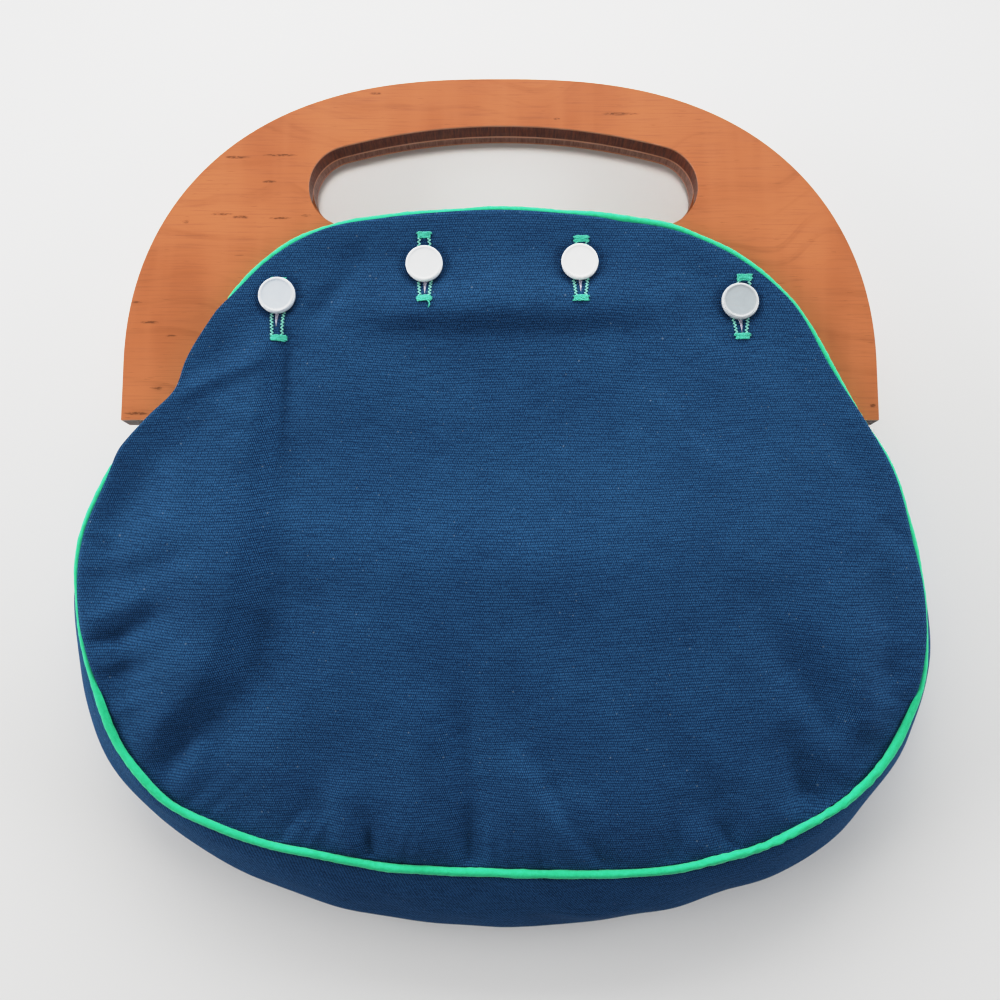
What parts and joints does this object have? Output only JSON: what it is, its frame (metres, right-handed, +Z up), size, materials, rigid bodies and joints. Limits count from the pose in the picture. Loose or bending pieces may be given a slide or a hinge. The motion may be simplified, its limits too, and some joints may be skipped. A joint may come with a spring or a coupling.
{
  "type": "wooden handle bag",
  "caption": "Handbag lying on its back: flat D-shaped wooden handles with a hand slot, in a buttoned-on navy rib cloth cover edged with green piping",
  "frame": {"origin": "centre of the lying bag's bounding box in X and Y, on the surface that it lies on (Z = 0)", "axes": "+X to the right along the handles' hinge line, +Y from the bag's bottom towards the grip, +Z up out of the front panel"},
  "size_m": [0.304, 0.3014, 0.0353],
  "materials": {
    "handle_wood": "satin varnish over honey-orange maple",
    "cover_cloth": "matt navy rib weave cotton",
    "piping_cloth": "matt bright green cotton piping",
    "button_pearl": "glossy pearly white",
    "hinge_brass": "satin brass"
  },
  "bodies": {
    "root": {"handle_front": "handle_wood", "handle_back": "handle_wood", "hinge_left": "hinge_brass", "hinge_right": "hinge_brass", "panel_front": "cover_cloth", "panel_back": "cover_cloth", "gusset": "cover_cloth", "piping_front": "piping_cloth", "piping_back": "piping_cloth", "button_front_1": "button_pearl", "button_front_2": "button_pearl", "button_front_3": "button_pearl", "button_front_4": "button_pearl", "button_back_1": "button_pearl", "button_back_2": "button_pearl", "button_back_3": "button_pearl", "button_back_4": "button_pearl"}
  },
  "joints": []
}
